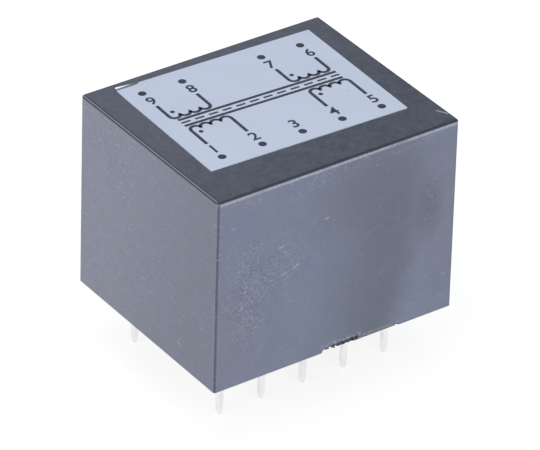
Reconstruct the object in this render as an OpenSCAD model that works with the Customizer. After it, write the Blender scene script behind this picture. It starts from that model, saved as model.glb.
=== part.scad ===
// Potted signal transformer for board mounting.
// A coil on a moulded bobbin, threaded on an interleaved E-I core, is cast in resin
// inside an open-bottomed moulded case, and nine square pins stand out below.
// The origin is the middle of the case's rim, which seats on the board.
// +X runs along the case, -Y faces the five-pin row and +Z points away from the board.

/* [Core] */
// Width of a lamination's outer leg; the centre leg is twice as wide
leg_w = 4.2; // [4:0.1:4.5]
// Thickness of one lamination
lam_t = 0.35; // [0.25:0.05:0.5]
// Laminations in the stack
lam_count = 28; // [20:2:30]
// Gap at the butt joint between an E and its I
butt_gap = 0.03; // [0.02:0.01:0.1]

/* [Windings] */
// Radial build of the inner primary winding
primary_a_t = 0.55; // [0.3:0.05:0.7]
// Radial build of the outer primary winding
primary_b_t = 0.6; // [0.3:0.05:0.7]
// Radial build of the inner secondary winding
secondary_a_t = 0.55; // [0.3:0.05:0.7]
// Radial build of the outer secondary winding
secondary_b_t = 0.6; // [0.3:0.05:0.7]
// Thickness of the copper screen between the inner and outer windings
foil_t = 0.05; // [0.03:0.01:0.1]
// Gap that keeps the screen from being a shorted turn
foil_gap = 1.2; // [0.6:0.1:3]
// Thickness of each layer of insulating tape
tape_t = 0.1; // [0.05:0.01:0.12]
// Thickness of the wrap round the finished coil
wrap_t = 0.2; // [0.1:0.05:0.25]

/* [Bobbin] */
// Wall of the tube that the coil is wound on
tube_wall = 0.7; // [0.5:0.05:0.8]
// Radius of the tube's outer corners
tube_corner_r = 0.5; // [0.3:0.1:0.6]
// Thickness of each end flange
flange_t = 0.7; // [0.6:0.05:1]
// Height of the flanges above the outer wrap
flange_lip = 0.2; // [0.1:0.05:0.4]
// Clearance between the bobbin and the core
bobbin_clear = 0.1; // [0.05:0.05:0.15]
// Bobbin material between a pin row's middle and the rail's outer side
rail_outer = 1.4; // [1:0.1:1.6]
// Bobbin material past the last pin in a row
rail_end = 1.9; // [1.2:0.1:2.2]
// Chamfer along the rail's lower outer edge
rail_chamfer = 0.5; // [0.2:0.1:0.8]
// Depth of the coring pockets between the pins
core_out = 1.2; // [0.5:0.1:1.8]
// Solid bobbin material left around each pin, between the pockets
pin_boss_w = 2.6; // [1.8:0.1:3.2]

/* [Pins] */
// Side of a square pin
pin_w = 0.6; // [0.5:0.02:0.7]
// Pitch of the pins along a row
pin_pitch = 5.08; // [4.8:0.02:5.3]
// Distance between the two pin rows
row_pitch = 15.24; // [14.8:0.02:15.8]
// Length of a pin below the rim
pin_out = 6.5; // [3:0.1:8]
// Length of a pin held in the rail
pin_in = 3; // [2:0.1:3.4]
// Length of the taper at a pin's tip
tip_taper = 0.9; // [0.3:0.1:1.2]
// Side of the flat at the end of a pin
tip_w = 0.3; // [0.2:0.02:0.4]

/* [Leads] */
// Diameter of an insulated lead-out wire
lead_d = 0.3; // [0.2:0.02:0.36]
// Turns of lead wrapped round the root of a pin
lead_turns = 3; // [2:1:3]
// Width of the slots that let the leads through the flanges
slot_w = 0.8; // [0.6:0.05:1]
// Clearance between a lead's wrap and the pin's corners
wrap_clear = 0.02; // [0.01:0.01:0.05]

/* [Case] */
// Thickness of the side walls
case_wall = 1.1; // [0.8:0.05:1.6]
// Thickness of the top
case_top = 1.2; // [0.8:0.05:2]
// Room for resin between the core and the end walls at the rim
end_gap = 0.8; // [0.65:0.01:1.5]
// Room for resin between the core and the long walls at the rim
side_gap = 0.51; // [0.2:0.01:1.2]
// Room for resin between the flanges and the inside of the top
top_gap = 1.3; // [0.4:0.01:3]
// Draft of the walls, in degrees
draft = 0.22; // [0:0.01:0.4]
// Radius along the outer edges
edge_r = 0.25; // [0.2:0.05:0.6]
// Radius of the corners inside the walls
cavity_r = 0.6; // [0.3:0.1:0.8]
// How far off the middle the coil sat when it was cast in
coil_shift = -0.5; // [-0.5:0.05:0.5]

/* [Potting] */
// Depth of the resin's surface inside the rim
resin_recess = 0.4; // [0.1:0.05:0.6]
// Height of the rails above the rim
rail_z = 1.85; // [1.7:0.05:2.5]

/* [Label] */
// Length of the label
label_l = 23.1; // [16:0.1:23.4]
// Width of the label
label_w = 17.8; // [12:0.1:18]
// Thickness of the label
label_t = 0.1; // [0.05:0.01:0.2]
// Radius of the label's corners
label_r = 0.1; // [0.1:0.1:1]
// Offset of the label along the case
label_x = 0.06; // [-1:0.01:1]
// Offset of the label across the case
label_y = 1.63; // [-1.8:0.01:1.8]
// Angle at which the label was stuck on
label_turn = -1.8; // [-2:0.1:2]

/* [Damage] */
// Where the flaked stretch of the front rim starts
flake_x = -1.45; // [-8:0.05:4]
// Length of the flaked stretch
flake_l = 4.5; // [2:0.1:6]
// Height of the flakes above the rim
flake_h = 0.5; // [0.3:0.05:0.8]
// Depth of the flakes into the wall where the stretch starts
flake_d = 0.42; // [0.2:0.02:0.6]
// Depth of the flakes where the stretch ends
flake_end_d = 0.14; // [0.1:0.02:0.6]
// Number of flakes along the stretch
flake_count = 9; // [5:1:12]
// Length of the scraped edge that follows them
scrape_l = 4.8; // [1:0.1:6]
// Height of the scraped edge's bevel
scrape_h = 0.3; // [0.1:0.05:0.5]
// Depth of the scraped edge's bevel
scrape_d = 0.08; // [0.04:0.02:0.3]
// Size of the nick at the far end of the scrape
nick_r = 0.22; // [0.1:0.02:0.4]

/* [Hidden] */
$fn = 32;
eps = 0.01;  // how far a cutter reaches past the face it opens

PIN_NAMES = [for (n = [1:9]) str("pin_", n)];

// Scrapless lamination: the I is as long as the E, and as wide as a leg
core_l = 6 * leg_w;
core_w = 5 * leg_w;
window_l = 3 * leg_w;
stack_h = lam_count * lam_t;

// Layers of the coil from the tube outwards, each with its build
LAYERS = [["primary_a", primary_a_t], ["tape", tape_t],
          ["secondary_a", secondary_a_t], ["tape", tape_t],
          ["foil", foil_t], ["tape", tape_t],
          ["primary_b", primary_b_t], ["tape", tape_t],
          ["secondary_b", secondary_b_t], ["wrap", wrap_t]];
function layer_called(name) = search([name], LAYERS)[0];
function build_of(i) = LAYERS[i][1];
function build_below(i) = i == 0 ? 0 : build_of(i - 1) + build_below(i - 1);
coil_build = build_below(len(LAYERS));

// The bobbin, from its tube outwards
tube_half_x = leg_w + bobbin_clear + tube_wall;
tube_half_z = stack_h / 2 + bobbin_clear + tube_wall;
flange_y = window_l / 2 - bobbin_clear;
coil_half_l = flange_y - flange_t;
flange_half_x = tube_half_x + coil_build + flange_lip / 4;
flange_half_z = tube_half_z + coil_build + flange_lip;
rail_h = tube_wall + coil_build + flange_lip;
rail_half_l = 2 * pin_pitch + rail_end;
rail_y = row_pitch / 2 + rail_outer;

// Heights above the rim
stack_z = rail_z + rail_h + bobbin_clear;
coil_z = stack_z + stack_h / 2;
cavity_z = coil_z + flange_half_z + top_gap;
case_h = cavity_z + case_top;

// The case's rim
case_l = core_l + 2 * (end_gap + case_wall);
case_w = core_w + 2 * (side_gap + case_wall);

// Pins 1 to 5 run along the front row, and 6 to 9 come back along the other, which
// has no middle pin; each has the coil layer that its lead comes from
PIN_XY = [for (c = [-2:2]) [c * pin_pitch, -row_pitch / 2],
          for (c = [2, 1, -1, -2]) [c * pin_pitch, row_pitch / 2]];
PIN_LAYER = ["secondary_a", "secondary_a", "foil", "secondary_b", "secondary_b",
             "primary_b", "primary_b", "primary_a", "primary_a"];

// Leads leave the coil through the flanges, under it, and reach out to the end pins
lead_reach = flange_half_x - slot_w - flange_lip;
wrap_r = pin_w / sqrt(2) + wrap_clear;
wrap_h = lead_turns * lead_d;
function side_of(y) = y < 0 ? -1 : 1;
function slot_x(p) = max(-lead_reach, min(lead_reach, p.x));

// How far the walls lean in at a height above the rim
function lean(z) = z * tan(draft);

// ---- Profiles ----

module rounded_rect(l, w, r) {
    square([l, w - 2 * r], center = true);
    square([l - 2 * r, w], center = true);
    for (x = [-1, 1], y = [-1, 1])
        translate([x * (l / 2 - r), y * (w / 2 - r)]) circle(r);
}

// Puts children at the four corners of a case of this size at this height
module at_corners(half_l, half_w, r, z) {
    for (x = [-1, 1], y = [-1, 1])
        translate([x * (half_l - lean(z) - r), y * (half_w - lean(z) - r), z]) children();
}

// A layer of the coil: a rounded ring round the tube, as long as the winding space
module coil_ring(i) {
    inner = build_below(i);
    outer = inner + build_of(i);
    translate([0, coil_half_l, coil_z]) rotate([90, 0, 0])
        linear_extrude(2 * coil_half_l) difference() {
            rounded_rect(2 * (tube_half_x + outer), 2 * (tube_half_z + outer), tube_corner_r + outer);
            rounded_rect(2 * (tube_half_x + inner), 2 * (tube_half_z + inner), tube_corner_r + inner);
        }
}

// ---- Case ----

// The rounded, drafted block that the case is hollowed from
module case_form() {
    hull() {
        at_corners(case_l / 2, case_w / 2, edge_r, 0) cylinder(r = edge_r, h = eps);
        at_corners(case_l / 2, case_w / 2, edge_r, case_h - edge_r) rotate_extrude()
            polygon([[0, 0], for (a = [0:15:90]) edge_r * [cos(a), sin(a)]]);
    }
}

// The space inside the walls, running out past the rim
module cavity_form() {
    hull() for (z = [-case_wall, cavity_z - eps])
        at_corners(case_l / 2 - case_wall, case_w / 2 - case_wall, cavity_r, z)
            cylinder(r = cavity_r, h = eps);
}

// A shell-shaped bite out of the front of the rim: a ball that sinks this deep into the
// wall and breaks its face up to this height
module bite(x, depth, height) {
    r = (height * height + depth * depth) / (2 * depth);
    translate([x, depth - r - case_w / 2, 0]) sphere(r);
}

// The rim's damage: flakes that grow shallower along the front, a bevel where it was
// scraped on from there, and a nick where the scrape ends
module rim_damage() {
    step = flake_l / flake_count;
    flake_end = flake_x + flake_l;
    for (i = [0:flake_count - 1]) {
        share = i / (flake_count - 1);
        height = (i % 2 == 0 ? 1 : 0.8) * flake_h;
        bite(flake_x + (i + 0.5) * step, flake_d + share * (flake_end_d - flake_d), height);
    }
    translate([flake_end - step, -case_w / 2, 0]) rotate([90, 0, 90])
        linear_extrude(scrape_l + step)
            polygon([[0, -scrape_h], [scrape_d, 0], [0, scrape_h], [-scrape_d, 0]]);
    bite(flake_end + scrape_l, nick_r, nick_r);
}

module case() {
    color([0.25, 0.26, 0.30]) difference() {
        case_form();
        cavity_form();
        rim_damage();
    }
}

// ---- Bobbin ----

module rail() {
    half_y = (rail_y - flange_y) / 2;
    difference() {
        translate([-rail_half_l, 0, 0]) rotate([90, 0, 90]) linear_extrude(2 * rail_half_l)
            polygon([[flange_y, rail_z], [rail_y - rail_chamfer, rail_z],
                     [rail_y, rail_z + rail_chamfer], [rail_y, rail_z + rail_h],
                     [flange_y, rail_z + rail_h]]);
        for (c = [-1.5:1.5])
            translate([c * pin_pitch - (pin_pitch - pin_boss_w) / 2, flange_y + flange_t, rail_z - eps])
                cube([pin_pitch - pin_boss_w, 2 * half_y, core_out + eps]);
        for (c = [-2:2])
            translate([c * pin_pitch - pin_w / 2, row_pitch / 2 - pin_w / 2, rail_z - eps])
                cube([pin_w, pin_w, pin_in + eps]);
    }
}

module bobbin_form() {
    translate([0, flange_y, coil_z]) rotate([90, 0, 0]) linear_extrude(2 * flange_y)
        rounded_rect(2 * tube_half_x, 2 * tube_half_z, tube_corner_r);
    difference() {
        for (y = [-flange_y, coil_half_l])
            translate([-flange_half_x, y, coil_z - flange_half_z])
                cube([2 * flange_half_x, flange_t, 2 * flange_half_z]);
        for (p = PIN_XY)
            translate([slot_x(p) - slot_w / 2, side_of(p.y) * (coil_half_l + flange_t / 2) - flange_t,
                       coil_z - flange_half_z - eps])
                cube([slot_w, 2 * flange_t, coil_build + flange_lip + eps]);
    }
    for (s = [0, 1]) mirror([0, s, 0]) rail();
}

// The square hole through the tube, which the centre legs fill
module tube_bore() {
    translate([-leg_w - bobbin_clear, -flange_y - eps, stack_z - bobbin_clear])
        cube([2 * (leg_w + bobbin_clear), 2 * (flange_y + eps), stack_h + 2 * bobbin_clear]);
}

module bobbin() {
    color([0.16, 0.16, 0.17]) translate([coil_shift, 0, 0]) difference() {
        bobbin_form();
        tube_bore();
    }
}

// ---- Coil ----

module winding(name, shade) {
    color(shade) translate([coil_shift, 0, 0]) coil_ring(layer_called(name));
}

module primary_winding_a() winding("primary_a", [0.72, 0.40, 0.16]);
module secondary_winding_a() winding("secondary_a", [0.62, 0.30, 0.14]);
module primary_winding_b() winding("primary_b", [0.76, 0.44, 0.18]);
module secondary_winding_b() winding("secondary_b", [0.66, 0.34, 0.15]);
module outer_wrap() winding("wrap", [0.85, 0.75, 0.25]);

// The screen stops short of a full turn, with its gap on the upper side
module screen_foil() {
    color([0.85, 0.52, 0.30]) translate([coil_shift, 0, 0]) difference() {
        coil_ring(layer_called("foil"));
        translate([-foil_gap / 2, -coil_half_l - eps, coil_z])
            cube([foil_gap, 2 * (coil_half_l + eps), flange_half_z]);
    }
}

module layer_tapes() {
    color([0.90, 0.82, 0.45]) translate([coil_shift, 0, 0])
        for (i = [0:len(LAYERS) - 1]) if (LAYERS[i][0] == "tape") coil_ring(i);
}

// ---- Core ----

// An E seen from above, with its back along -Y
module e_outline() {
    translate([-core_l / 2, -core_w / 2]) square([core_l, leg_w]);
    for (x = [-core_l / 2, core_l / 2 - leg_w])
        translate([x, -core_w / 2]) square([leg_w, leg_w + window_l - butt_gap]);
    translate([-leg_w, -core_w / 2]) square([2 * leg_w, leg_w + window_l - butt_gap]);
}

// The I that closes it, along +Y
module i_outline() {
    translate([-core_l / 2, core_w / 2 - leg_w]) square([core_l, leg_w]);
}

// Every second sheet of the stack, turned end for end when flip is 1
module sheets(first, flip, shade) {
    color(shade) translate([coil_shift, 0, stack_z])
        for (i = [first:2:lam_count - 1])
            translate([0, 0, i * lam_t]) mirror([0, flip, 0]) linear_extrude(lam_t) children();
}

module e_laminations_front() sheets(0, 0, [0.45, 0.46, 0.50]) e_outline();
module i_laminations_back() sheets(0, 0, [0.52, 0.53, 0.57]) i_outline();
module e_laminations_back() sheets(1, 1, [0.40, 0.41, 0.46]) e_outline();
module i_laminations_front() sheets(1, 1, [0.56, 0.57, 0.60]) i_outline();

// ---- Pins and leads ----

// One side view of a pin, tapered at the board end and at the end held in the rail
module pin_profile() {
    top = rail_z + pin_in;
    polygon([[-pin_w / 2, -pin_out + tip_taper], [-tip_w / 2, -pin_out], [tip_w / 2, -pin_out],
             [pin_w / 2, -pin_out + tip_taper], [pin_w / 2, top], [-pin_w / 2, top]]);
}

module pin(n) {
    p = PIN_XY[n - 1];
    color([0.82, 0.82, 0.80]) translate([p.x + coil_shift, p.y, 0]) intersection() {
        translate([0, pin_w / 2, 0]) rotate([90, 0, 0]) linear_extrude(pin_w) pin_profile();
        translate([-pin_w / 2, 0, 0]) rotate([90, 0, 90]) linear_extrude(pin_w) pin_profile();
    }
}

// A straight run of wire between two points, with a rounded bend at its far end
module wire(from, to) {
    run = to - from;
    flat = norm([run.x, run.y]);
    translate(from) rotate([0, atan2(flat, run.z), atan2(run.y, run.x)])
        cylinder(d = lead_d, h = norm(run));
    translate(to) sphere(d = 1.15 * lead_d);
}

// A lead from the end of its coil layer, down through the flange's slot and out to its pin
module lead(n) {
    p = PIN_XY[n - 1];
    i = layer_called(PIN_LAYER[n - 1]);
    s = side_of(p.y);
    x = slot_x(p);
    layer_z = coil_z - tube_half_z - build_below(i) - build_of(i) / 2;
    run_z = rail_z - wrap_h / 2;
    slot_y = s * (coil_half_l + flange_t / 2);
    away = [p.x - x, p.y - slot_y];
    reach = away * (1 - (wrap_r + lead_d / 2) / norm(away));
    translate([p.x, p.y, rail_z - wrap_h]) rotate_extrude()
        translate([wrap_r, 0]) square([lead_d, wrap_h]);
    wire([x, s * coil_half_l, layer_z], [x, slot_y, layer_z]);
    wire([x, slot_y, layer_z], [x, slot_y, run_z]);
    wire([x, slot_y, run_z], [x + reach.x, slot_y + reach.y, run_z]);
}

module lead_outs() {
    color([0.75, 0.20, 0.15]) translate([coil_shift, 0, 0]) for (n = [1:9]) lead(n);
}

// ---- Resin ----

// All that the resin flowed round, with the core and the coil as closed blocks
module cast_in() {
    bobbin_form();
    translate([0, coil_half_l, coil_z]) rotate([90, 0, 0]) linear_extrude(2 * coil_half_l)
        rounded_rect(2 * (tube_half_x + coil_build), 2 * (tube_half_z + coil_build),
                     tube_corner_r + coil_build);
    translate([0, 0, stack_z]) linear_extrude(stack_h) difference() {
        square([core_l, core_w], center = true);
        for (x = [-1.5, 1.5])
            translate([x * leg_w, 0]) square([leg_w, window_l], center = true);
    }
    for (p = PIN_XY)
        translate([p.x - pin_w / 2, p.y - pin_w / 2, 0]) cube([pin_w, pin_w, rail_z + pin_in]);
    for (n = [1:9]) lead(n);
}

module potting_resin() {
    color([0.10, 0.10, 0.11]) difference() {
        cavity_form();
        translate([-case_l / 2, -case_w / 2, resin_recess - case_h]) cube([case_l, case_w, case_h]);
        translate([coil_shift, 0, 0]) cast_in();
    }
}

// ---- Label ----

module label() {
    color([0.80, 0.84, 0.91]) translate([label_x, label_y, case_h]) rotate([0, 0, label_turn])
        linear_extrude(label_t) rounded_rect(label_l, label_w, label_r);
}

case();
potting_resin();
label();
bobbin();
primary_winding_a();
secondary_winding_a();
screen_foil();
primary_winding_b();
secondary_winding_b();
layer_tapes();
outer_wrap();
e_laminations_front();
i_laminations_back();
e_laminations_back();
i_laminations_front();
lead_outs();
for (n = [1:9]) pin(n);
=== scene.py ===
"""Looks of a potted board-mounting transformer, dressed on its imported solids."""

from math import cos, pi, radians, sin, tan

import bpy
import numpy as np
from mathutils import Matrix, Vector


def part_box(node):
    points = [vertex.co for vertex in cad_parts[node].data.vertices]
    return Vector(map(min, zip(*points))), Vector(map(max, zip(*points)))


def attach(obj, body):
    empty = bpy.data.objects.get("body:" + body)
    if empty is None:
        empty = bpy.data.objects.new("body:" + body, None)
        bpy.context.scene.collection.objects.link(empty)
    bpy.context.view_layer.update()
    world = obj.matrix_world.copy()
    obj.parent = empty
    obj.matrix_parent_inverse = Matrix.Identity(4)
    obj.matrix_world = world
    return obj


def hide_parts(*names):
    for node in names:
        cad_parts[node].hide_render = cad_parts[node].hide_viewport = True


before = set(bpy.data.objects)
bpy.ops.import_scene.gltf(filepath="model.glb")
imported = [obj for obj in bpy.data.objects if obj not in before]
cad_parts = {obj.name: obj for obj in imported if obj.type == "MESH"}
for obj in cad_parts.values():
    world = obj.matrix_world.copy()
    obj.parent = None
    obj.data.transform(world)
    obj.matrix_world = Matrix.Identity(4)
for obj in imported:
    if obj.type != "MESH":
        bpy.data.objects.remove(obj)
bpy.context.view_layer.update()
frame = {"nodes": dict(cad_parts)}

MM = 0.001  # every size below is in millimetres, and meshes are made in metres

# ---- Sizes taken from the frame ----


def box_mm(node):
    """A node's lowest and highest corner, in millimetres."""
    low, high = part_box(node)
    return np.array(low) / MM, np.array(high) / MM


RESIN_LOW, RESIN_HIGH = box_mm("potting_resin")
LABEL_LOW, LABEL_HIGH = box_mm("label")
PINS = {f"pin_{n}": box_mm(f"pin_{n}") for n in range(1, 10)}

HALF_L, HALF_W, TOP_Z = box_mm("case")[1]
DRAFT = radians(0.22)
EDGE_R = 0.25
CAVITY_R = 0.6
WALL = HALF_L - RESIN_HIGH[0]
CAVITY_Z = RESIN_HIGH[2]
RESIN_Z = RESIN_LOW[2]
BOARD_Z = PINS["pin_1"][0][2]

LABEL_TURN = radians(-1.8)
LABEL_MID = (LABEL_LOW + LABEL_HIGH) / 2
_SPAN = (LABEL_HIGH - LABEL_LOW)[:2]
_C, _S = cos(LABEL_TURN), abs(sin(LABEL_TURN))
LABEL_L, LABEL_W = np.linalg.solve([[_C, _S], [_S, _C]], _SPAN)
LABEL_T = LABEL_HIGH[2] - LABEL_LOW[2]

# The label's far left corner has sprung up, and its far edge curls beside that corner
CURL_RUN = 2.8
CURL_W = 0.42
CURL_H = 0.16
SPRUNG_REACH = 3
SPRUNG_H = 0.05

# Where the front rim is flaked along the case, and where the scrape that follows ends
FLAKES = (-1.45, 3.05)
SCRAPE_END = 7.85

# ---- Meshes ----


def outward(faces, points):
    """Turns every face over if the closed surface holds a negative volume."""
    a, b, c = points[faces[:, 0]], points[faces[:, 1]], points[faces[:, 2]]
    if faces.shape[1] == 4:
        d = points[faces[:, 3]]
        volume = np.einsum("ij,ij->", a, np.cross(b, c)) + np.einsum("ij,ij->", a, np.cross(c, d))
    else:
        volume = np.einsum("ij,ij->", a, np.cross(b, c))
    return faces[:, ::-1] if volume < 0 else faces


def make_piece(name, points, quads, caps=(), attributes=None, crease=radians(35)):
    """A mesh object at the origin from points in millimetres, quads, and flat end caps.

    Shading is smooth, apart from edges that turn by more than the crease angle.
    """
    quads = outward(quads, points)
    mesh = bpy.data.meshes.new(name)
    mesh.from_pydata(points * MM, [], quads.tolist() + [list(cap) for cap in caps])
    mesh.update()
    for key, values in (attributes or {}).items():
        layer = mesh.attributes.new(key, "FLOAT", "POINT")
        layer.data.foreach_set("value", np.ascontiguousarray(values, np.float32).ravel())
    mesh.shade_smooth()
    mesh.set_sharp_from_angle(angle=crease)
    piece = bpy.data.objects.new(name, mesh)
    bpy.context.scene.collection.objects.link(piece)
    return piece


def grid_faces(rows, columns):
    """Quads between the rows of a grid whose columns close into a ring."""
    i, j = np.meshgrid(np.arange(rows - 1), np.arange(columns), indexing="ij")
    k = (j + 1) % columns
    corners = (i * columns + j, i * columns + k, (i + 1) * columns + k, (i + 1) * columns + j)
    return np.stack(corners, -1).reshape(-1, 4)


def capped_piece(name, grid, attributes=None, crease=radians(35)):
    """A closed piece from a grid of rings, with a flat cap over its first and its last ring."""
    rows, columns = grid.shape[:2]
    points = grid.reshape(-1, 3)
    quads = grid_faces(rows, columns)
    turned = outward(quads, points)
    ring = np.arange(columns)
    first, last = ring, (rows - 1) * columns + ring
    if np.array_equal(turned, quads):
        first = first[::-1]
    else:
        last = last[::-1]
    return make_piece(name, points, quads, (first, last), attributes, crease)


def rounded_rings(half_x, half_y, radius, front, side, back=None, arc_steps=6):
    """Rounded rectangles as an array of rings, one for each entry of half_x, half_y and radius.

    Each ring runs anticlockwise from the front side: along each side at the given shares of
    its straight length, and round each corner by equal turns about the corner's centre. Also
    returns how far round a corner each column is: 0 on the straights, 1 midway.
    """
    half_x, half_y, radius = (np.asarray(v, float)[:, None] for v in (half_x, half_y, radius))
    turn = np.linspace(0, pi / 2, arc_steps + 1)[1:-1]
    back = front if back is None else back
    cx, cy = half_x - radius, half_y - radius
    one_f, one_s, one_b, one_t = (np.ones_like(v) for v in (front, side, back, turn))
    sin_r, cos_r = radius * np.sin(turn), radius * np.cos(turn)
    xs = [cx * (2 * front - 1), cx * one_t + sin_r, half_x * one_s, cx * one_t + cos_r,
          cx * (1 - 2 * back), -cx * one_t - sin_r, -half_x * one_s, -cx * one_t - cos_r]
    ys = [-half_y * one_f, -cy * one_t - cos_r, cy * (2 * side - 1), cy * one_t + sin_r,
          half_y * one_b, cy * one_t + cos_r, cy * (1 - 2 * side), -cy * one_t - sin_r]
    bend = np.sin(2 * turn)
    corner = np.concatenate([0 * front, bend, 0 * side, bend, 0 * back, bend, 0 * side, bend])
    return np.concatenate(xs, 1), np.concatenate(ys, 1), corner


def waves(a, b, scale, seed, octaves=4):
    """Smooth seeded roughness between about -1 and 1: a sum of sine waves across the two
    coordinates, each octave half as long and half as high as the one before."""
    rng = np.random.default_rng(seed)
    total, height = np.zeros(np.broadcast(a, b).shape), 0.0
    for octave in range(octaves):
        share = 0.5 ** octave
        for _ in range(5):
            heading, phase = rng.uniform(0, 2 * pi, 2)
            pace = 2 * pi * 2 ** octave / scale * rng.uniform(0.7, 1.4)
            total = total + share * np.sin(pace * (a * cos(heading) + b * sin(heading)) + phase)
        height += 5 * share
    return total / (0.35 * height)


def step_up(value, low, high):
    """0 below low, 1 above high, and a smooth S between them."""
    t = np.clip((value - low) / (high - low), 0, 1)
    return t * t * (3 - 2 * t)


# ---- Case ----


def rim_loss(x, z):
    """How deep the front wall has lost material at a place on it, in millimetres: by flakes,
    and by the scrape.

    The flakes start deep and grow shallower along the rim, where they leave a row of pits
    above it instead. Their height and depth wander. The scrape is a thin bevel from the rim
    up, with a nick at its far end.
    """
    start, end = FLAKES
    share = np.clip((x - start) / (end - start), 0, 1)
    inside = step_up(x, start - 0.05, start + 0.15) * (1 - step_up(x, end - 0.15, end + 0.05))
    crumbs = np.clip(1 + 0.45 * waves(x, z, 0.55, 5, 5), 0.3, 1.8)
    height = inside * (0.44 + 0.18 * share + 0.07 * waves(x, 0 * x, 0.9, 3))
    over = np.clip(z / np.maximum(height, 1e-3), 0, 1)
    depth = (0.42 - 0.32 * share ** 0.8) * (1 + 0.2 * waves(x, 0 * x, 0.8, 4))
    pits = 0.24 * share * np.sin(pi * over) ** 0.6
    flaked = inside * (depth * np.sqrt(1 - over ** 2) + pits) * crumbs * (over < 1)

    rubbed = step_up(x, end - 0.4, end) * (1 - step_up(x, SCRAPE_END - 0.1, SCRAPE_END))
    bevel = 0.1 * np.clip(1 - z / (0.36 + 0.05 * waves(x, 0 * x, 2.5, 6, 3)), 0, 1)
    nick = 0.2 * np.clip(1 - np.hypot(x - SCRAPE_END, z) / 0.24, 0, 1)
    return flaked, rubbed * bevel + nick


def case_shell():
    """The moulded case, as a profile carried round rounded rectangles.

    The profile runs from the middle of the cavity's roof, down the inside wall, under the rim,
    up the drafted outside wall, over the edge radius and in to the middle of the top. The
    attributes say how far each place is past the middle of that edge, how far round a corner
    it is, and whether it is flaked or scraped.
    """
    lean = tan(DRAFT)
    inner_z = np.r_[np.linspace(CAVITY_Z, 1, 9), np.linspace(0.8, 0, 9)]
    rim = np.r_[np.linspace(WALL, 0.6, 6)[1:], np.linspace(0.55, 0, 20)[:-1]]
    outer_z = np.r_[np.linspace(0, 0.9, 46), np.linspace(0.9, TOP_Z - EDGE_R, 26)[1:]]
    turn = np.linspace(0, pi / 2, 11)[1:]
    top_in = np.array([0.1, 0.4, 1.2, 3, 6, 10])

    over = TOP_Z - EDGE_R
    inset = np.r_[WALL + lean * CAVITY_Z + 9, WALL + lean * inner_z, rim, lean * outer_z,
                  lean * over + EDGE_R * (1 - np.cos(turn)), lean * over + EDGE_R + top_in]
    z = np.r_[CAVITY_Z, inner_z, 0 * rim, outer_z, over + EDGE_R * np.sin(turn), 0 * top_in + TOP_Z]
    rim_r = CAVITY_R + (EDGE_R - CAVITY_R) * (1 - rim / WALL)
    radius = np.r_[0.05, 0 * inner_z + CAVITY_R, rim_r, 0 * outer_z + EDGE_R,
                   np.maximum(EDGE_R * np.cos(turn), 0.02), 0 * top_in + 0.02]
    arc = EDGE_R * pi / 2
    from_edge = np.r_[np.full(1 + len(inner_z) + len(rim), -TOP_Z), outer_z - over - arc / 2,
                      EDGE_R * turn - arc / 2, top_in + arc / 2]

    near = np.linspace(FLAKES[0] - 0.3, SCRAPE_END + 0.5, 330)
    flat = HALF_L - EDGE_R
    front = np.r_[np.linspace(-flat, near[0], 26)[:-1], near, np.linspace(near[-1], flat, 18)[1:]]
    front = (front / flat + 1) / 2
    x, y, corner = rounded_rings(HALF_L - inset, HALF_W - inset, radius, front,
                                 np.linspace(0, 1, 24), np.linspace(0, 1, 40))
    zz = np.broadcast_to(z[:, None], x.shape).copy()

    depth_in = y + HALF_W - lean * zz
    flaked, scraped = rim_loss(x, zz)
    loss = np.maximum(flaked, scraped)
    moved = (depth_in < np.minimum(loss, 0.7)) & (zz < 1)
    y = np.where(moved, -HALF_W + lean * zz + loss, y)
    columns = x.shape[1]
    return capped_piece("case_shell", np.stack([x, y, zz], -1), {
        "from_edge": np.repeat(from_edge, columns),
        "corner": np.tile(corner, len(z)),
        "flaked": np.where(moved, np.clip((flaked - scraped) / 0.04, 0, 1), 0),
        "scraped": np.where(moved, np.clip(scraped / 0.01, 0, 1), 0),
    }, crease=radians(32))


# ---- Resin ----


def resin_skin():
    """The cast resin's surface, wetted up the walls and the pins, with a few burst bubbles.

    Its height is the resin's level, less a film that dies away with the distance from the
    nearest wall and from each pin, less slow ripples, plus a dish for each bubble.
    """
    half_x, half_y = RESIN_HIGH[0], RESIN_HIGH[1]
    inward = np.r_[np.linspace(0, 1.5, 20), np.linspace(1.5, half_y - 0.3, 75)[1:]]
    radius = np.maximum(CAVITY_R - inward, 0.02)
    x, y, _ = rounded_rings(half_x - inward, half_y - inward, radius,
                            np.linspace(0, 1, 150), np.linspace(0, 1, 110))
    wall_gap = np.broadcast_to(inward[:, None], x.shape)
    film = 0.20 * np.exp(-wall_gap / 0.4)
    for low, high in PINS.values():
        gap = np.hypot(np.maximum(np.maximum(low[0] - x, x - high[0]), 0),
                       np.maximum(np.maximum(low[1] - y, y - high[1]), 0))
        film = np.maximum(film, 0.26 * np.exp(-gap / 0.28))
    dish = np.zeros_like(x)
    rng = np.random.default_rng(21)
    for _ in range(11):
        bx, by = rng.uniform(-0.8, 0.8, 2) * (half_x, half_y)
        size = rng.uniform(0.14, 0.34)
        dish += 0.35 * size * np.exp(-((np.hypot(x - bx, y - by) / size) ** 4))
    z = RESIN_Z - 0.02 - film + dish - 0.012 * waves(x, y, 7, 22, 3)
    back = RESIN_Z + 0.15
    deep = np.stack([x[-1], y[-1], 0 * x[-1] + back], -1)[None]
    rear = np.stack([x[0], y[0], 0 * x[0] + back], -1)[None]
    grid = np.concatenate([deep, rear, np.stack([x, y, z], -1)])
    return capped_piece("resin_skin", grid)


# ---- Pins ----


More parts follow.
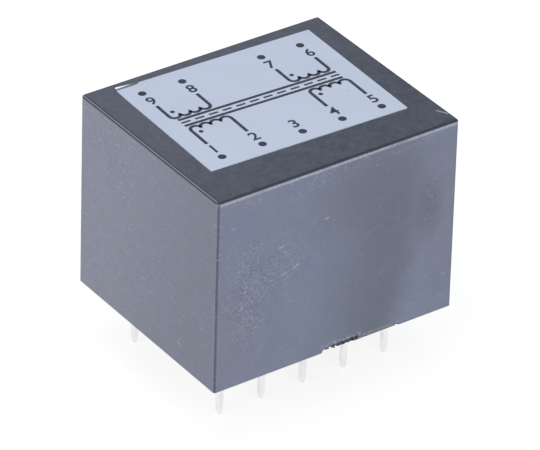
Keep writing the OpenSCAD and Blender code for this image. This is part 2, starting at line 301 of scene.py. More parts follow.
def solder_pin(name, low, high):
    """A square pin with eased corners: rounded squares up the Z axis that narrow to the tip.

    The taper is straight, and the tip's last stretch is rounded like a quarter circle.
    """
    mid, half = (low + high) / 2, (high[0] - low[0]) / 2
    taper, tip, ease = 0.9, 0.15, 0.08
    z = np.r_[low[2] + ease * (1 - np.cos(np.linspace(0, pi / 2, 5))),
              np.linspace(low[2] + taper * 0.3, low[2] + taper, 5),
              np.linspace(low[2] + taper + 0.15, high[2], 12)]
    slope = np.clip((z - low[2]) / taper, 0, 1)
    size = tip + (half - tip) * slope
    size[:5] -= 0.06 * (1 - np.sin(np.linspace(0, pi / 2, 5)))
    radius = 0.22 * size
    sides = np.linspace(0, 1, 4)
    x, y, _ = rounded_rings(size, size, radius, sides, sides, arc_steps=5)
    grid = np.stack([x + mid[0], y + mid[1], np.broadcast_to(z[:, None], x.shape)], -1)
    return capped_piece(name, grid)


# ---- Label and its print ----


def curl(u, v):
    """How far a place is into the curled strip along the film's far edge: 1 at the edge and 0
    where the strip starts, dying away with the distance from the far left corner."""
    along = np.clip(1 - (u + LABEL_L / 2) / CURL_RUN, 0, 1) ** 0.5
    return along * np.clip(1 - (LABEL_W / 2 - v) / CURL_W, 0, 1)


def label_lift(u, v):
    """How far the film stands off the top: its far left corner has sprung up slightly, and
    the edge beside it curls."""
    from_corner = np.hypot(u + LABEL_L / 2, 1.2 * (v - LABEL_W / 2))
    sprung = np.clip(1 - from_corner / SPRUNG_REACH, 0, 1) ** 2
    return SPRUNG_H * sprung + CURL_H * curl(u, v) ** 1.6


def on_label(u, v, height, turn=LABEL_TURN):
    """Turns places on the label, and heights above its film, into points on the case."""
    x = LABEL_MID[0] + u * cos(turn) - v * sin(turn)
    y = LABEL_MID[1] + u * sin(turn) + v * cos(turn)
    return np.stack([x, y, TOP_Z + height + label_lift(u, v)], -1)


def label_film():
    """The label's film: a flat sheet on a grid, lifted by label_lift, with a closed edge."""
    inward = np.r_[np.linspace(0, 0.45, 13), np.linspace(0.7, LABEL_W / 2 - 0.3, 36)]
    radius = np.maximum(0.1 - inward, 0.02)
    u, v, _ = rounded_rings(LABEL_L / 2 - inward, LABEL_W / 2 - inward, radius,
                            np.linspace(0, 1, 110), np.linspace(0, 1, 70))
    grid = np.concatenate([on_label(u, v, 0.004)[::-1], on_label(u, v, LABEL_T)])
    curled = curl(u, v)
    return capped_piece("label_film", grid, {"curled": np.concatenate([curled[::-1], curled])},
                        crease=radians(50))


INK_T = 0.012
PRINT_TURN = LABEL_TURN - radians(0.4)


def stroke(path, width):
    """A flat line of ink along a path of points on the label: two edges, each half the width
    off the path, and the same again below. Returns its points and its faces."""
    path = np.asarray(path, float)
    ahead = np.gradient(path, axis=0)
    ahead /= np.linalg.norm(ahead, axis=1)[:, None]
    side = np.stack([-ahead[:, 1], ahead[:, 0]], 1) * width / 2
    left, right = path + side, path - side
    layers = [on_label(*edge.T, height, PRINT_TURN) for edge, height in
              ((left, LABEL_T), (right, LABEL_T), (right, LABEL_T + INK_T), (left, LABEL_T + INK_T))]
    points = np.stack(layers, 1)
    quads = grid_faces(len(path), 4)
    ends = np.array([[3, 2, 1, 0], [4 * len(path) - 4 + k for k in range(4)]])
    return points.reshape(-1, 3), np.concatenate([quads, ends])


def disc(u, v, radius, steps=36):
    """A round spot of ink: a ring at the film, and the same ring above it, closed by caps
    of narrow quads from side to side."""
    turn = np.linspace(0, 2 * pi, steps, endpoint=False)
    ring = np.stack([u + radius * np.cos(turn), v + radius * np.sin(turn)], 1)
    points = np.concatenate([on_label(*ring.T, LABEL_T, PRINT_TURN),
                             on_label(*ring.T, LABEL_T + INK_T, PRINT_TURN)])
    walls = grid_faces(2, steps)
    half = steps // 2
    k = np.arange(half - 1)
    cap = np.stack([k, k + 1, steps - 2 - k, steps - 1 - k], 1)
    return points, np.concatenate([walls, cap[:, ::-1], cap + steps])


def joined(shapes):
    """One set of points and faces from several, each turned the right way out by itself."""
    points, faces, start = [], [], 0
    for shape_points, shape_faces in shapes:
        points.append(shape_points)
        faces.append(outward(shape_faces, shape_points - shape_points.mean(0)) + start)
        start += len(shape_points)
    return np.concatenate(points), np.concatenate(faces)


# Print layout on the label, from its middle
DOT_PITCH = 4.68
DOT_R = 0.43
NUMERAL_H = 1.45
NUMERAL_OFF = 1.65
ROWS = {"front": (0.17, -7.3), "back": (-0.33, 6.75)}
PIN_COLUMNS = {1: -2, 2: -1, 3: 0, 4: 1, 5: 2, 6: 2, 7: 1, 8: -1, 9: -2}


def dot_place(n):
    """Where the dot for pin n is printed."""
    middle, row = ROWS["front" if n <= 5 else "back"]
    return middle + PIN_COLUMNS[n] * DOT_PITCH, row


def arc(u, v, radius, start, end, steps=14):
    """Points along part of a circle, between two angles in degrees."""
    turn = np.radians(np.linspace(start, end, steps))
    return np.stack([u + radius * np.cos(turn), v + radius * np.sin(turn)], 1)


def coil_line(from_u, to_u, v, facing, loops=4):
    """A winding's symbol: a row of half circles between two terminals."""
    pitch = (to_u - from_u) / loops
    turns = [arc(from_u + (k + 0.5) * pitch, v, pitch / 2, 180, 180 - 180 * facing)
             for k in range(loops)]
    return np.concatenate([turn if k == 0 else turn[1:] for k, turn in enumerate(turns)])


def winding_diagram():
    """The transformer's symbol: two windings on each side of a core of two lines, each with
    a lead towards its pins' dots, and a dashed screen between the lines."""
    bold, fine = 0.36, 0.26
    reach, coil_v, core_v = 9.3, 1.65, 0.62
    shapes = [stroke([(-reach, v), (0, v), (reach, v)], bold) for v in (-core_v, core_v)]
    for left, right, facing in ((1, 2, 1), (4, 5, 1), (9, 8, -1), (7, 6, -1)):
        (left_u, dot_v), (right_u, _) = dot_place(left), dot_place(right)
        v = coil_v * np.sign(dot_v)
        shapes.append(stroke(coil_line(left_u, right_u, v, facing), bold))
        lead_end = dot_v - np.sign(dot_v) * 2.75
        for u in (left_u, right_u):
            shapes.append(stroke([(u, v), (u, lead_end)], bold))
        shapes.append(disc(left_u + 0.75, v + 0.62 * np.sign(dot_v), 0.24))
    dash, gap = 1.05, 0.55
    start = -reach
    while start < reach:
        shapes.append(stroke([(start, 0), (min(start + dash, reach), 0)], fine))
        start += dash + gap
    return shapes


def digit(text, u, v, height):
    """A printed numeral, from the built-in typeface, made a mesh, given the ink's thickness
    and laid on the label with its middle at (u, v)."""
    curve = bpy.data.curves.new("numeral", "FONT")
    curve.body = text
    curve.size = 1
    curve.offset = 0.018
    curve.extrude = 0.5
    curve.resolution_u = 6
    maker = bpy.data.objects.new("numeral", curve)
    bpy.context.scene.collection.objects.link(maker)
    mesh = maker.to_mesh()
    points = np.zeros(len(mesh.vertices) * 3)
    mesh.vertices.foreach_get("co", points)
    points = points.reshape(-1, 3)
    polygons = [list(p.vertices) for p in mesh.polygons]
    maker.to_mesh_clear()
    bpy.data.objects.remove(maker)
    bpy.data.curves.remove(curve)
    low, high = points.min(0), points.max(0)
    scale = height / (high[1] - low[1])
    flat = (points[:, :2] - (low + high)[:2] / 2) * scale + (u, v)
    raised = LABEL_T + INK_T * (points[:, 2] > 0)
    return on_label(flat[:, 0], flat[:, 1], raised, PRINT_TURN), polygons


def label_print():
    """All the ink on the label: a dot and a number for each pin, and the winding diagram."""
    shapes = [disc(*dot_place(n), DOT_R) for n in range(1, 10)]
    points, faces = joined(shapes + winding_diagram())
    faces = faces.tolist()
    points = [points]
    start = len(points[0])
    for n in range(1, 10):
        u, v = dot_place(n)
        numeral, polygons = digit(str(n), u + 0.05, v - np.sign(v) * NUMERAL_OFF, NUMERAL_H)
        points.append(numeral)
        faces += [[start + i for i in polygon] for polygon in polygons]
        start += len(numeral)
    mesh = bpy.data.meshes.new("label_print")
    mesh.from_pydata(np.concatenate(points) * MM, [], faces)
    mesh.update()
    piece = bpy.data.objects.new("label_print", mesh)
    bpy.context.scene.collection.objects.link(piece)
    return piece


# ---- Materials ----


class Value:
    """One number or vector in a shader. Arithmetic on it adds Math nodes."""

    def __init__(self, shader, socket):
        self.shader, self.socket = shader, socket

    def _math(self, operation, *operands, clamp=False):
        return self.shader.node("ShaderNodeMath", {"operation": operation, "use_clamp": clamp},
                                dict(enumerate(operands)))

    def __add__(self, other):
        return self._math("ADD", self, other)

    def __sub__(self, other):
        return self._math("SUBTRACT", self, other)

    def __rsub__(self, other):
        return self._math("SUBTRACT", other, self)

    def __mul__(self, other):
        return self._math("MULTIPLY", self, other)

    def __truediv__(self, other):
        return self._math("DIVIDE", self, other)

    def __pow__(self, other):
        return self._math("POWER", self, other)

    __radd__, __rmul__ = __add__, __mul__

    def abs(self):
        return self._math("ABSOLUTE", self)

    def most(self, other):
        return self._math("MAXIMUM", self, other)

    def clamped(self):
        return self._math("ADD", self, 0.0, clamp=True)

    def between(self, low, high):
        """0 at low and 1 at high, with a smooth S between them."""
        return self.shader.node("ShaderNodeMapRange", {"interpolation_type": "SMOOTHSTEP"},
                                {0: self, 1: low, 2: high})

    def near(self, middle, reach):
        """1 at the middle, falling smoothly to 0 at this distance from it."""
        return 1 - (self - middle).abs().between(0.0, reach)

    def within(self, low, high, blur):
        """1 from low to high, fading out over the blur on both sides."""
        return self.between(low - blur, low) * (1 - self.between(high, high + blur))


class Shader:
    """A material's node tree. node() makes every node in it."""

    def __init__(self, name):
        self.material = bpy.data.materials.new(name)
        self.material.use_nodes = True
        self.tree = self.material.node_tree
        self.tree.nodes.clear()
        place = self.node("ShaderNodeTexCoord", out="Object")
        self.mm = self.node("ShaderNodeVectorMath", {"operation": "SCALE"}, {0: place, "Scale": 1 / MM})
        self.x, self.y, self.z = (self.node("ShaderNodeSeparateXYZ", inputs={0: self.mm}, out=k)
                                  for k in range(3))

    def node(self, kind, settings=None, inputs=None, out=0):
        """Adds a node: its settings first, then the values or links of its sockets."""
        made = self.tree.nodes.new(kind)
        for key, value in (settings or {}).items():
            setattr(made, key, value)
        for key, value in (inputs or {}).items():
            if isinstance(value, Value):
                self.tree.links.new(value.socket, made.inputs[key])
            else:
                made.inputs[key].default_value = value
        return Value(self, made.outputs[out]) if made.outputs else None

    def stretched(self, x=1.0, y=1.0, z=1.0):
        """The place in millimetres, stretched along the axes."""
        return self.node("ShaderNodeVectorMath", {"operation": "MULTIPLY"},
                         {0: self.mm, 1: (x, y, z)})

    def noise(self, size, detail=3.0, rough=0.5, place=None, distortion=0.0):
        """Noise between 0 and 1 whose blotches are about this many millimetres across."""
        return self.node("ShaderNodeTexNoise", {"noise_dimensions": "3D"},
                         {"Vector": place or self.mm, "Scale": 1 / size, "Detail": detail,
                          "Roughness": rough, "Distortion": distortion})

    def cells(self, size, place=None):
        """Distance to scattered points about this many millimetres apart."""
        return self.node("ShaderNodeTexVoronoi", {"feature": "F1"},
                         {"Vector": place or self.mm, "Scale": 1 / size}, "Distance")

    def spot(self, u, v, middle, reach):
        """1 at the middle of an ellipse, falling smoothly to 0 at its rim."""
        across, along = (u - middle[0]) / reach[0], (v - middle[1]) / reach[1]
        return 1 - ((across * across + along * along) ** 0.5).between(0.0, 1.0)

    def stroke(self, u, v, start, end, width):
        """1 along a straight mark between two places, and 0 beside it."""
        run = np.subtract(end, start)
        length = float(np.hypot(*run))
        ahead = run / length
        off = (u - start[0]) * float(-ahead[1]) + (v - start[1]) * float(ahead[0])
        far = (u - start[0]) * float(ahead[0]) + (v - start[1]) * float(ahead[1])
        return (1 - off.abs().between(width * 0.3, width * 0.7)) * far.within(0.0, length, width)

    def attribute(self, name):
        return self.node("ShaderNodeAttribute", {"attribute_name": name}, out="Fac")

    def mix(self, share, first, second, blend="MIX"):
        """A blend of two colours."""
        return self.node("ShaderNodeMix", {"data_type": "RGBA", "blend_type": blend,
                                           "clamp_factor": True},
                         {0: share, 6: first, 7: second}, 2)

    def shade(self, colour, share):
        """A colour made lighter or darker by a varying share."""
        grey = self.node("ShaderNodeCombineColor", inputs={k: share for k in range(3)})
        return self.mix(1.0, colour, grey, "MULTIPLY")

    def bump(self, height, distance, strength=1.0, under=None):
        """A normal from heights of up to this many millimetres."""
        inputs = {"Height": height, "Distance": distance * MM, "Strength": strength}
        if under:
            inputs["Normal"] = under
        return self.node("ShaderNodeBump", inputs=inputs)

    def surface(self, **sockets):
        """Ends the tree in a Principled shader; spaces in socket names are written as _."""
        shader = self.node("ShaderNodeBsdfPrincipled",
                           inputs={key.replace("_", " "): value for key, value in sockets.items()})
        self.node("ShaderNodeOutputMaterial", inputs={"Surface": shader})
        return self.material


def rgb(red, green, blue):
    """A colour written as a screen shows it, turned into the renderer's linear light."""
    return tuple(((c / 255) / 12.92 if c <= 10 else ((c / 255 + 0.055) / 1.055) ** 2.4)
                 for c in (red, green, blue)) + (1.0,)


def side_bloom(s, front, left, patches, cloudy):
    """Painted sheen and light over the plastic's colour on the sides: pale, greyer at the left and
    lighter towards its back and top where the light falls, bluer at the front, with painted pools of
    light and shade, and a darker band down the right of the front.
    """
    # Painted sheen: the sides are coloured paler than the top for the light they catch and reflect
    sheen_tone = s.mix(patches.between(0.35, 0.68), rgb(109, 112, 126), rgb(117, 120, 133))
    # Painted light: the left side grows lighter towards its back and top
    far_left = s.mix((s.y + s.z * 0.25).between(-8.0, 14.0), rgb(107, 110, 124), rgb(124, 126, 140))
    sheen_tone = s.mix(left * 0.75, sheen_tone, far_left)
    # Painted sheen on the front, bluer than on the left
    cool = s.mix(patches.between(0.3, 0.7), rgb(109, 115, 136), rgb(113, 120, 137))
    sheen_tone = s.mix(front * 0.85, sheen_tone, cool)
    # Painted pools of light and shade across the front
    lit_pool = front * s.spot(s.x, s.z, (-13.0, 6.0), (6.5, 10.0))
    sheen_tone = s.mix(lit_pool * 0.7, sheen_tone, rgb(113, 115, 129))
    sheen_tone = s.mix(front * s.spot(s.x, s.z, (2.5, 18.0), (11.0, 8.0)) * 0.8, sheen_tone, rgb(98, 103, 117))
    sheen_tone = s.mix(front * s.spot(s.x, s.z, (14.0, 12.0), (6.5, 16.0)) * 0.55, sheen_tone, rgb(108, 111, 125))

    # A darker band with a blotchy edge leans down the right of the front
    lean = s.x - s.z * 0.185 + (s.noise(5.0, 3.0) - 0.5) * 2.6
    dark_lean = lean.between(-6.0, 4.6) * (1 - lean.between(5.4, 9.2))
    dark_lean = dark_lean * (1 - s.z.between(12.0, 22.0) * 0.5)
    dark_lean = (dark_lean + s.spot(s.x, s.z, (11.2, 12.8), (2.4, 5.6))).clamped()
    return s.mix(front * dark_lean * (0.6 + (cloudy - 0.5) * 0.5), sheen_tone, rgb(80, 86, 94))


def plain_top(s):
    """The top's plastic, painted darker than the sides for the shade it takes, and lighter towards the
    back.
    """
    # Painted shade: the top is coloured darker than the sides
    plain = s.mix((s.y - s.x * 0.6).between(-14.0, 16.0), rgb(57, 63, 76), rgb(77, 81, 93))
    return s.mix((s.noise(0.7, 4.0, 0.65) - 0.35).clamped(), plain, rgb(100, 105, 120))


def worn_places(s, front, left):
    """Where the surface is crumbled: near the front's left edge, in a bow by its right edge,
    under its top edge, and high on the left side."""
    bow = s.x + (s.z - 12.0) * (s.z - 12.0) * 0.06
    by_left = s.spot(s.x, s.z, (-10.6, 10.5), (3.8, 9.0))
    by_right = s.spot(bow, s.z, (11.9, 13.5), (1.3, 6.5))
    inner = s.spot(s.x, s.z, (-6.3, 12.5), (4.5, 4.5))
    above = s.spot(s.x, s.z, (-2.0, TOP_Z - 1.5), (7.0, 1.6))
    worn = front * (by_left + by_right * 0.35 + inner * 0.6 + above * 0.6)
    return (worn + left * s.spot(s.y, s.z, (7.0, 19.0), (7.0, 7.0)) * 0.6).clamped()


def crumbled(s, colour, worn, front, crumb):
    """Light and dark crumbs where the surface is worn, and curling pale scuffs."""
    colour = s.mix(worn * crumb.between(0.52, 0.66) * 0.45, colour, rgb(150, 155, 170))
    colour = s.mix(worn * (1 - crumb.between(0.34, 0.47)) * 0.55, colour, rgb(76, 79, 92))
    curls = s.noise(1.1, 2.0, 0.5, distortion=1.6).near(0.5, 0.022)
    curls = curls * s.noise(0.9, 2.0).between(0.5, 0.6)
    return s.mix(curls * (worn * 0.5 + front * 0.2), colour, rgb(160, 164, 178))


# Short pale strokes on the front: from, to, width and strength
DASHES = [((-1.6, 15.88), (-1.2, 15.93), 0.12, 0.7), ((-5.25, 11.5), (-4.8, 11.75), 0.17, 0.42),
          ((-7.1, 14.4), (-6.6, 14.45), 0.15, 0.35), ((-6.75, 11.1), (-6.2, 11.25), 0.14, 0.35)]


def handled(s, colour, side, front, left):
    """Level rub marks on the left, then dust, nicks drawn out level, and a few dashes."""
    rubs = s.noise(0.4, 3.0, 0.6, s.stretched(0.22, 0.22, 1.5))
    colour = s.mix(left * rubs.between(0.58, 0.72) * 0.3, colour, rgb(156, 159, 172))
    colour = s.mix(left * (1 - rubs.between(0.28, 0.42)) * 0.25, colour, rgb(86, 89, 102))
    nicks = 1 - s.cells(1.7, s.stretched(0.45, 0.45, 1.5)).between(0.045, 0.1)
    nicks = nicks * s.noise(3.0, 1.0).between(0.5, 0.56)
    dust = (1 - s.cells(0.8).between(0.03, 0.08)) * 0.5
    colour = s.mix((nicks * side + dust).clamped() * 0.5, colour, rgb(164, 168, 182))
    for start, end, width, strength in DASHES:
        dash = front * s.stroke(s.x, s.z, start, end, width) * strength
        colour = s.mix(dash, colour, rgb(178, 182, 194))
    return colour


def edge_lines(s, colour, side, facing):
    """A painted stippled highlight under the front's top edge, where its radius catches the light, with
    stray light specks below it, and painted dark reflections along the rounded edges: two round the top
    with a painted highlight between them, but one at the front, and one down each corner broken by
    lighter ticks."""
    edge, corner = s.attribute("from_edge"), s.attribute("corner")
    front = side * facing
    fine = s.noise(0.14, 2.0)
    # Painted highlight: a stippled light line and stray specks under the front's top edge
    stipple = front * edge.within(-0.42, -0.24, 0.1) * (0.35 + fine.between(0.42, 0.58) * 0.65)
    stipple = stipple * (0.5 + 0.5 * s.noise(3.2, 2.0).between(0.36, 0.55))
    stray = front * edge.within(-1.3, -0.3, 0.5) * fine.between(0.56, 0.64)
    stray = stray * s.noise(2.0, 2.0).between(0.5, 0.6)
    colour = s.mix((stipple + stray * 0.6).clamped() * 0.85, colour, rgb(172, 176, 188))
    # Painted reflections: dark lines where the edge radii face dark surroundings
    double = edge.within(-0.22, -0.1, 0.08).most(edge.within(0.12, 0.2, 0.06) * 0.8)
    single = edge.within(-0.1, 0.1, 0.1)
    lines = double + (single - double) * facing
    ticks = s.noise(0.5, 2.0, 0.5, s.stretched(0.15, 0.15, 1.0)).between(0.64, 0.72)
    lines = lines.most(side * corner.between(0.0, 0.9) * (0.72 - ticks * 0.5))
    # Painted highlight: a lighter line between the two dark lines round the top
    colour = s.mix(edge.within(-0.04, 0.05, 0.05) * (1 - facing) * 0.8, colour, rgb(112, 116, 130))
    return s.mix(lines * 0.92, colour, rgb(34, 37, 47))


def broken_rim(s, colour, front, crumb, flaked):
    """The damage to the front rim: pale stress marks over the flakes, the rubbed scrape, and
    freshly broken plastic in the flakes, painted dark for the shade in its recess, with crumbs painted
    light as highlights."""
    scraped = s.attribute("scraped")
    stress = front * s.x.within(FLAKES[0], FLAKES[1], 0.4) * s.z.within(0.6, 0.85, 0.25)
    colour = s.mix(stress * crumb.between(0.45, 0.6) * 0.6, colour, rgb(146, 150, 172))
    # Broken plastic in the flakes: painted shade in the recess, with painted highlights on the crumbs
    raw = s.mix(s.noise(0.16, 4.0, 0.75).between(0.46, 0.58), rgb(26, 29, 35), rgb(142, 147, 156))
    rubbed = s.mix(s.noise(0.3, 3.0), rgb(104, 98, 101), rgb(120, 114, 118))
    band = front * s.x.within(FLAKES[1] + 0.1, SCRAPE_END, 0.3)
    brow = band * s.z.within(0.4, 0.46, 0.1) * crumb.between(0.4, 0.56)
    colour = s.mix(brow * 0.6, colour, rgb(146, 148, 158))
    colour = s.mix((band * (1 - s.z.between(0.3, 0.42))).most(scraped) * 0.75, colour, rubbed)
    return s.mix(flaked, colour, raw)


def case_plastic():
    """Slate-grey moulding: painted dark on top and painted pale down the sides for the sheen and light
    they catch, stopping at the edges, with painted dark reflections and highlights along the edges,
    handling marks on the front, and freshly broken plastic, painted dark with shade, where it is broken."""
    s = Shader("case_plastic")
    side = 1 - s.attribute("from_edge").between(-0.12, 0.06)
    facing = (s.y * -1).between(HALF_W - 0.5, HALF_W - 0.3)
    front = side * facing
    left = side * (s.x * -1).between(HALF_L - 0.8, HALF_L - 0.4)
    flaked = s.attribute("flaked")
    patches = s.noise(4.5, 4.0, 0.55, distortion=0.5)
    cloudy = s.noise(1.0, 4.0, 0.6)
    crumb = s.noise(0.3, 3.0, 0.75)

    worn = worn_places(s, front, left)
    # Painted light and shade: the top is coloured darker than the sides
    colour = s.mix(side, plain_top(s), side_bloom(s, front, left, patches, cloudy))
    colour = crumbled(s, colour, worn, front, crumb)
    colour = handled(s, colour, side, front, left)
    colour = edge_lines(s, colour, side, facing)
    scratch = s.stroke(s.x, s.y, (13.5, -9.5), (14.14, -10.55), 0.14) * (1 - side)
    colour = s.mix(scratch * 0.8, colour, rgb(176, 178, 186))
    colour = broken_rim(s, colour, front, crumb, flaked)

    grain = (s.noise(0.15, 2.0, 0.6) - 0.5) * (0.3 + left * 0.4 + worn * 0.5 + (1 - side) * 0.8)
    colour = s.shade(colour, 1 + grain + (cloudy - 0.5) * 0.16)
    roughness = 0.55 + (patches - 0.5) * 0.12 + worn * 0.08 + flaked * 0.25
    normal = s.bump(s.noise(0.12, 3.0, 0.6) * 0.6 + cloudy * 0.4, 0.02, 0.35)
    normal = s.bump(s.noise(0.14, 5.0, 0.75) * flaked, 0.12, 1.0, normal)
    return s.surface(Base_Color=colour, Roughness=roughness, Normal=normal)


def label_face():
    """Pale satin film with stray flecks, whose curled edge has a painted white highlight above a painted
    shadow.
    """
    s = Shader("label_film")
    tone = s.mix(s.noise(6.0, 3.0), rgb(184, 193, 211), rgb(192, 201, 218))
    tone = s.mix(s.spot(s.x, s.y, (9.34, -7.29), (0.2, 0.16)) * 0.9, tone, rgb(196, 178, 110))
    tone = s.mix(s.spot(s.x, s.y, (8.19, -1.78), (0.13, 0.13)) * 0.8, tone, rgb(96, 128, 140))
    dust = (1 - s.cells(0.9).between(0.02, 0.06)) * 0.4
    tone = s.mix(dust, tone, rgb(218, 224, 236))
    curled = s.attribute("curled")
    # Painted shadow in the valley of the curl
    tone = s.mix(curled.within(0.2, 0.5, 0.12) * 0.85, tone, rgb(70, 74, 86))
    # Painted highlight on the curled edge
    tone = s.mix(curled.between(0.62, 0.72), tone, rgb(244, 246, 250))
    grain = 1 + (s.noise(0.2, 3.0) - 0.5) * 0.08
    normal = s.bump(s.noise(0.5, 3.0), 0.01, 0.25)
    return s.surface(Base_Color=s.shade(tone, grain), Roughness=0.5 + s.noise(2.0) * 0.1, Normal=normal)


def label_ink():
    """Blue-black print, thinner in places."""
    s = Shader("label_ink")
    tone = s.mix(s.noise(0.5, 4.0, 0.6).between(0.3, 0.8), rgb(40, 45, 58), rgb(62, 68, 84))
    return s.surface(Base_Color=tone, Roughness=0.55 + s.noise(0.3) * 0.1)


def cast_resin():
    """Black casting resin, set with a gloss that dulls in patches."""
    s = Shader("cast_resin")
    haze = s.noise(3.0, 4.0, 0.6)
    tone = s.mix(haze, rgb(26, 27, 30), rgb(40, 41, 45))
    dust = (1 - s.cells(0.7).between(0.03, 0.07)) * 0.4
    tone = s.mix(dust, tone, rgb(90, 92, 96))
    normal = s.bump(s.noise(1.2, 3.0), 0.02, 0.3)
    return s.surface(Base_Color=tone, Roughness=0.22 + haze * 0.25, Normal=normal)


def tinned_metal():
    """Tin plate over a drawn pin: bright, with faint draw lines and dull spots."""
    s = Shader("tinned_metal")
    drawn = s.noise(0.12, 3.0, 0.6, s.stretched(1.0, 1.0, 0.06))
    dull = s.noise(0.7, 3.0).between(0.45, 0.7)
    tone = s.mix(dull, rgb(243, 243, 244), rgb(236, 236, 238))
    normal = s.bump(drawn, 0.001, 0.2)
    return s.surface(Base_Color=tone, Metallic=1.0, Roughness=0.3 + dull * 0.08 + drawn * 0.05,
                     Normal=normal)


def nylon():
    """Black glass-filled nylon."""
    s = Shader("bobbin_nylon")
    fibres = s.noise(0.2, 4.0, 0.6, s.stretched(1.0, 0.3, 1.0))
    tone = s.mix(fibres, rgb(38, 39, 42), rgb(56, 57, 60))
    return s.surface(Base_Color=tone, Roughness=0.5 + fibres * 0.15, Normal=s.bump(fibres, 0.01, 0.4))


def wound_wire(name, dark, bright, wire):
    """Enamelled wire wound side by side: round ridges across the coil's axis, painted lighter on each
    turn's crest and darker in the grooves between turns.
    """
    s = Shader(name)
    turns = s.node("ShaderNodeMath", {"operation": "SINE"}, {0: s.y * (2 * pi / wire)})
    ridge = turns * 0.5 + 0.5
    # Painted highlight on the crests and painted shade in the grooves
    tone = s.mix(ridge * 0.7 + s.noise(0.6, 3.0) * 0.3, dark, bright)
    return s.surface(Base_Color=tone, Metallic=0.6 + ridge * 0.3, Roughness=0.28 + s.noise(1.0) * 0.1,
                     Normal=s.bump(ridge, wire / 2, 0.6))


def copper_sheet():
    """Rolled copper foil."""
    s = Shader("copper_sheet")
    rolled = s.noise(0.2, 4.0, 0.6, s.stretched(1.0, 0.08, 1.0))
    tone = s.mix(rolled, rgb(184, 110, 72), rgb(222, 150, 108))
    return s.surface(Base_Color=tone, Metallic=1.0, Roughness=0.25 + rolled * 0.15,
                     Normal=s.bump(rolled, 0.004, 0.3))


def polyester_tape():
    """Yellow polyester tape with slight wrinkles."""
    s = Shader("polyester_tape")
    wrinkle = s.noise(1.5, 4.0, 0.55, s.stretched(1.0, 0.4, 1.0))
    tone = s.mix(wrinkle, rgb(206, 176, 60), rgb(228, 204, 96))
    return s.surface(Base_Color=tone, Roughness=0.25 + wrinkle * 0.15, Normal=s.bump(wrinkle, 0.05, 0.5))


def core_steel():
    """Annealed electrical steel: a blue-grey skin with rolling lines and punched edges."""
    s = Shader("core_steel")
    rolled = s.noise(0.3, 4.0, 0.6, s.stretched(0.06, 1.0, 1.0))
    tone = s.mix(rolled, rgb(96, 100, 112), rgb(140, 142, 150))
    return s.surface(Base_Color=tone, Metallic=0.9, Roughness=0.35 + rolled * 0.2,
                     Normal=s.bump(rolled, 0.006, 0.4))


def wire_sleeve():
    """Red insulation on the lead-out wires."""
    s = Shader("wire_sleeve")
    tone = s.mix(s.noise(0.8, 3.0), rgb(150, 38, 30), rgb(186, 54, 42))
    return s.surface(Base_Color=tone, Roughness=0.4 + s.noise(0.5) * 0.1,
                     Normal=s.bump(s.noise(0.3, 3.0), 0.008, 0.4))


def finish_with(pieces, material):
    """Gives pieces this material in every slot."""
    for piece in pieces:
        piece.data.materials.clear()
        piece.data.materials.append(material)


# ---- Stage ----


def studio_floor():
    """A white table top that runs out of sight: cameras and reflections see it evenly lit,
    and the object's shadow stays on it."""
    size = 3.0
    mesh = bpy.data.meshes.new("studio_floor")
    corners = [(-size, -size), (size, -size), (size, size), (-size, size)]
    mesh.from_pydata([(x, y, BOARD_Z * MM) for x, y in corners], [], [(0, 1, 2, 3)])
    floor = bpy.data.objects.new("studio_floor", mesh)
    bpy.context.scene.collection.objects.link(floor)
    s = Shader("studio_white")
    path = {name: s.node("ShaderNodeLightPath", out=name)
            for name in ("Is Camera Ray", "Is Glossy Ray", "Is Transmission Ray")}
    seen = path["Is Camera Ray"].most(path["Is Glossy Ray"]).most(path["Is Transmission Ray"])
    lit = s.node("ShaderNodeBsdfDiffuse", inputs={"Color": rgb(232, 233, 236)})
    shown = s.node("ShaderNodeAddShader", inputs={
        0: s.node("ShaderNodeEmission", inputs={"Color": (1, 1, 1, 1), "Strength": 0.86}),
        1: s.node("ShaderNodeBsdfDiffuse", inputs={"Color": (0.18, 0.18, 0.18, 1)})})
    s.node("ShaderNodeOutputMaterial", inputs={
        "Surface": s.node("ShaderNodeMixShader", inputs={0: seen, 1: lit, 2: shown})})
    finish_with([floor], s.material)


def area_light(name, place, size, power, aim=(0, 0, 0.011), tint=(1, 1, 1)):
    """A square soft light at a place in metres, turned to the object."""
    data = bpy.data.lights.new(name, "AREA")
    data.size, data.energy, data.color = size, power, tint
    lamp = bpy.data.objects.new(name, data)
    bpy.context.scene.collection.objects.link(lamp)
    lamp.location = place
    lamp.rotation_euler = (Vector(aim) - Vector(place)).to_track_quat("-Z", "Y").to_euler()


def studio():
    """Even light from all round, with soft boxes overhead and to both sides of the view."""
    world = bpy.data.worlds.new("studio_air")
    bpy.context.scene.world = world
    world.use_nodes = True
    world.node_tree.nodes["Background"].inputs["Color"].default_value = (0.92, 0.95, 1.0, 1)
    world.node_tree.nodes["Background"].inputs["Strength"].default_value = 0.48
    area_light("overhead_box", (-0.1, 0.1, 0.8), 0.5, 1.85)
    area_light("left_box", (-0.7, -0.15, 0.35), 0.5, 2.85)
    area_light("front_box", (-0.1, -0.75, 0.35), 0.5, 2.8, tint=(0.93, 0.96, 1.0))


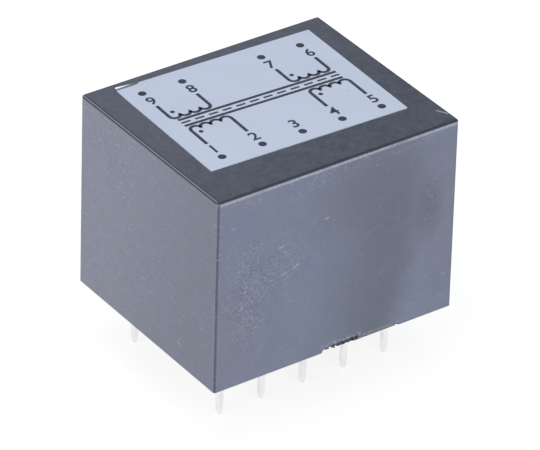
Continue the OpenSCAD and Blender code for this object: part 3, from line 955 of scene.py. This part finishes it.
def set_camera():
    """A long lens on the object from its front left corner, a third of the way up."""
    azimuth, elevation, roll = radians(-35.945), radians(32.632), radians(1.744)
    distance = 476.3
    aim = Vector((-0.464, -1.261, 8.982))
    back = Vector((sin(azimuth) * cos(elevation), -cos(azimuth) * cos(elevation), sin(elevation)))
    level = (-back).cross(Vector((0, 0, 1))).normalized()
    upright = level.cross(-back)
    right = cos(roll) * level + sin(roll) * upright
    up = -sin(roll) * level + cos(roll) * upright
    lens = bpy.data.cameras.new("camera")
    lens.lens, lens.sensor_width = 316.75, 36
    lens.clip_start, lens.clip_end = 0.02, 20
    camera = bpy.data.objects.new("camera", lens)
    bpy.context.scene.collection.objects.link(camera)
    turn = Matrix((right, up, back)).transposed().to_4x4()
    camera.matrix_world = Matrix.Translation((aim + distance * back) * MM) @ turn
    bpy.context.scene.camera = camera


# ---- The object ----


def replacing(piece, slot, *nodes):
    """Sets a new piece on the one body, in place of CAD nodes."""
    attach(piece, "root")
    if nodes:
        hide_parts(*nodes)
    return piece


set_camera()
studio()
studio_floor()

finish_with([replacing(case_shell(), "case_plastic", "case")], case_plastic())
finish_with([replacing(resin_skin(), "resin"), frame["nodes"]["potting_resin"]], cast_resin())
finish_with([replacing(solder_pin(name + "_plated", *corners), "tinned_pin", name)
             for name, corners in PINS.items()], tinned_metal())
finish_with([replacing(label_film(), "label_film", "label")], label_face())
finish_with([replacing(label_print(), "label_film")], label_ink())

nodes = frame["nodes"]
finish_with([nodes["bobbin"]], nylon())
finish_with([nodes["primary_winding_a"], nodes["primary_winding_b"]],
            wound_wire("primary_wire", rgb(120, 62, 26), rgb(190, 112, 56), 0.11))
finish_with([nodes["secondary_winding_a"], nodes["secondary_winding_b"]],
            wound_wire("secondary_wire", rgb(104, 48, 24), rgb(172, 92, 48), 0.14))
finish_with([nodes["screen_foil"]], copper_sheet())
finish_with([nodes["layer_tapes"], nodes["outer_wrap"]], polyester_tape())
finish_with([nodes[name] for name in ("e_laminations_front", "i_laminations_back",
                                      "e_laminations_back", "i_laminations_front")], core_steel())
finish_with([nodes["lead_outs"]], wire_sleeve())

bpy.context.scene.view_settings.view_transform = "Standard"
